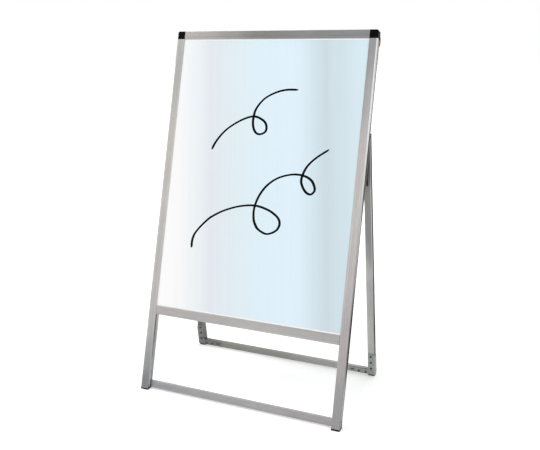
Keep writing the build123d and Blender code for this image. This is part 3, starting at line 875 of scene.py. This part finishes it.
def screwRings(look, headRadius, shankRadius, length, turnedBy):
    # rings of points from the middle of the head, over its rim, to the shank's tip
    # z is outwards, 0 under the head
    height, rounding, gaps = look["height"], look["rounding"], look["flatRings"]
    flat = headRadius - rounding
    profile = [(flat * i / gaps, height) for i in range(1, math.ceil(gaps))] + [(flat, height)]
    for i in range(1, look["roundRings"] + 1):
        angle = math.pi / 2 * i / look["roundRings"]
        profile.append((flat + rounding * math.sin(angle), height - rounding + rounding * math.cos(angle)))
    profile += [(headRadius, 0.0), (shankRadius, 0.0)]
    profile += [(shankRadius, look["tipLength"] - length), (shankRadius * look["tipTaper"], -length)]
    turn = Matrix.Rotation(turnedBy, 3, "Z")
    rings = []
    for radius, level in profile:
        ring = []
        for k in range(look["turns"]):
            angle = 2 * math.pi * k / look["turns"]
            x, y = radius * math.cos(angle), radius * math.sin(angle)
            z = level - recessCut(x, y, radius, look) if level > 0 else level
            ring.append(turn @ Vector((x, y, z)) * mm)
        rings.append(ring)
    return rings


def joinRings(work, middle, rings):
    # fan round the middle, bands between the rings, and a last flat face
    count = len(rings[0])
    for k in range(count):
        work.faces.new((middle, rings[0][k], rings[0][(k + 1) % count]))
    for inner, outer in zip(rings, rings[1:]):
        for k in range(count):
            n = (k + 1) % count
            work.faces.new((inner[k], outer[k], outer[n], inner[n]))
    work.faces.new(list(reversed(rings[-1])))


def finishPiece(work, name, material):
    bmesh.ops.recalc_face_normals(work, faces=work.faces[:])
    mesh = bpy.data.meshes.new(name)
    work.to_mesh(mesh)
    work.free()
    mesh.materials.append(material)
    return addObject(name, mesh)


def buildScrews(node, kind, look, material):
    work = bmesh.new()
    bottom = Vector((0, 0, (look["height"] - look["armDepth"][0]) * mm))
    for index, points in enumerate(looseParts(node)):
        place, headRadius, shankRadius, length = measureScrew(points, kind, look)
        turnedBy = math.radians(look["firstTurn"] + look["nextTurn"] * index)  # no two screws stop alike
        rings = [
            [work.verts.new(place @ p) for p in ring]
            for ring in screwRings(look, headRadius, shankRadius, length, turnedBy)
        ]
        joinRings(work, work.verts.new(place @ bottom), rings)
    piece = finishPiece(work, node + "_panhead", material)
    piece.data.polygons.foreach_set("use_smooth", [True] * len(piece.data.polygons))
    piece.data.set_sharp_from_angle(angle=math.radians(look["creaseAngle"]))
    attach(piece, kind["body"])
    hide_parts(node)


for node, kind in screwKinds.items():
    buildScrews(node, kind, panHead, steelOf["blackChromatedSteel"])
print("screws built")

# points read off a straightened view of the photograph, closer where a stroke bends more
# x and z in mm on the board
strokes = {
    "upper_marker_stroke": [
        (-165, 764), (-153, 789), (-130, 819), (-102, 842), (-64, 863), (-30, 871), (1, 858), (11, 840),
        (7, 825), (-10, 818), (-24, 824), (-33, 841), (-35, 866), (-28, 896), (-4, 926), (30, 945),
        (64, 954), (101, 955),
    ],
    "lower_marker_stroke": [
        (-200, 457), (-200, 480), (-194, 500), (-180, 520), (-160, 542), (-140, 559), (-100, 581),
        (-50, 598), (0, 604), (45, 594), (75, 576), (84, 558), (78, 540), (61, 528), (42, 524), (18, 534),
        (6, 548), (-1, 566), (-2, 597), (9, 633), (32, 667), (66, 692), (110, 705), (146, 703), (170, 691),
        (182, 669), (178, 656), (168, 651), (155, 657), (143, 673), (138, 692), (146, 720), (159, 740),
        (180, 760), (214, 784),
    ],
}
# Dry-wipe marker ink: a thin dull black film that beads a little at its rim.
inkFilm = {
    "width": (6.0, 8.1),  # mm, along the nib's slant and across it
    "nibSlant": 20.0,  # degrees from the level
    "thickness": 0.14,
    # places across the width, and the share of the thickness there
    "section": [(-0.5, 0.0), (-0.44, 0.75), (-0.25, 1.0), (0.25, 1.0), (0.44, 0.75), (0.5, 0.0)],
    "steps": 8,  # between two points
    "tip": (0.55, 2),  # share of the width at the very end, and the steps to full width
    "sweep": (0.05, 0.21),  # how much the width swells and how fast, in radians a step
    "tones": [(0.3, "#040405"), (0.8, "#0E0E10")],
    "streakNoise": {"Scale": 1 / 5.0, "Detail": 3.0, "Roughness": 0.5},  # 5 mm
    "dullness": {"Roughness": 0.5, "IOR": 1.5, "Specular IOR Level": 0.05},
}


def markerInk(look):
    material, tree = newMaterial("dryWipeMarkerInk")
    streak = addNode(tree, "TexNoise", {"Vector": placeMm(tree, frontSpace), **look["streakNoise"]})
    colour = addNode(tree, "ValToRGB", [streak], stops=look["tones"])
    finishSurface(tree, {**look["dullness"], "Base Color": colour})
    return material


def curveThrough(points, steps):
    # smooth line through the points
    line = []
    ends = [points[0] * 2 - points[1]] + points + [points[-1] * 2 - points[-2]]
    for a, b, c, d in zip(ends, ends[1:], ends[2:], ends[3:]):
        for i in range(steps):
            t = i / steps
            bend, twist = 2 * a - 5 * b + 4 * c - d, 3 * b - a - 3 * c + d
            line.append(0.5 * (2 * b + (c - a) * t + bend * t * t + twist * t ** 3))
    return line + [points[-1]]


def strokeRows(points, film):
    # one row of points across the stroke for each step along it, as (x, behind the bars' front, z) in mm
    line = curveThrough([Vector(point) for point in points], film["steps"])
    thin, thick = film["width"]
    tipShare, tipSteps = film["tip"]
    swell, pace = film["sweep"]
    slant = math.radians(film["nibSlant"])
    nib = Vector((math.cos(slant), math.sin(slant)))
    rows = []
    for i, point in enumerate(line):
        ahead = (line[min(i + 1, len(line) - 1)] - line[max(i - 1, 0)]).normalized()
        side = Vector((-ahead.y, ahead.x))
        fade = min(1.0, tipShare + (1 - tipShare) * min(i, len(line) - 1 - i) / tipSteps)
        sweep = 1 + swell * math.sin(i * pace)
        width = (thin + (thick - thin) * ahead.cross(nib) ** 2) * fade * sweep
        row = []
        for across, rise in film["section"]:
            spot = point + side * across * width
            row.append((spot.x, stand["boardFront"] - rise * film["thickness"], spot.y))
        rows.append(row)
    return rows


def buildStroke(name, points, film, material):
    work = bmesh.new()
    rows = []
    for row in strokeRows(points, film):
        rows.append([work.verts.new(frontSpace @ (Vector(spot) * mm)) for spot in row])
    for a, b in zip(rows, rows[1:]):
        for k in range(len(a) - 1):
            work.faces.new((a[k], a[k + 1], b[k + 1], b[k]))
        work.faces.new((a[-1], a[0], b[0], b[-1]))
    work.faces.new(rows[0])
    work.faces.new(list(reversed(rows[-1])))
    piece = finishPiece(work, name, material)
    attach(piece, "front_frame")


inkMaterial = markerInk(inkFilm)
for name, points in strokes.items():
    buildStroke(name, points, inkFilm, inkMaterial)
print("marker strokes drawn")
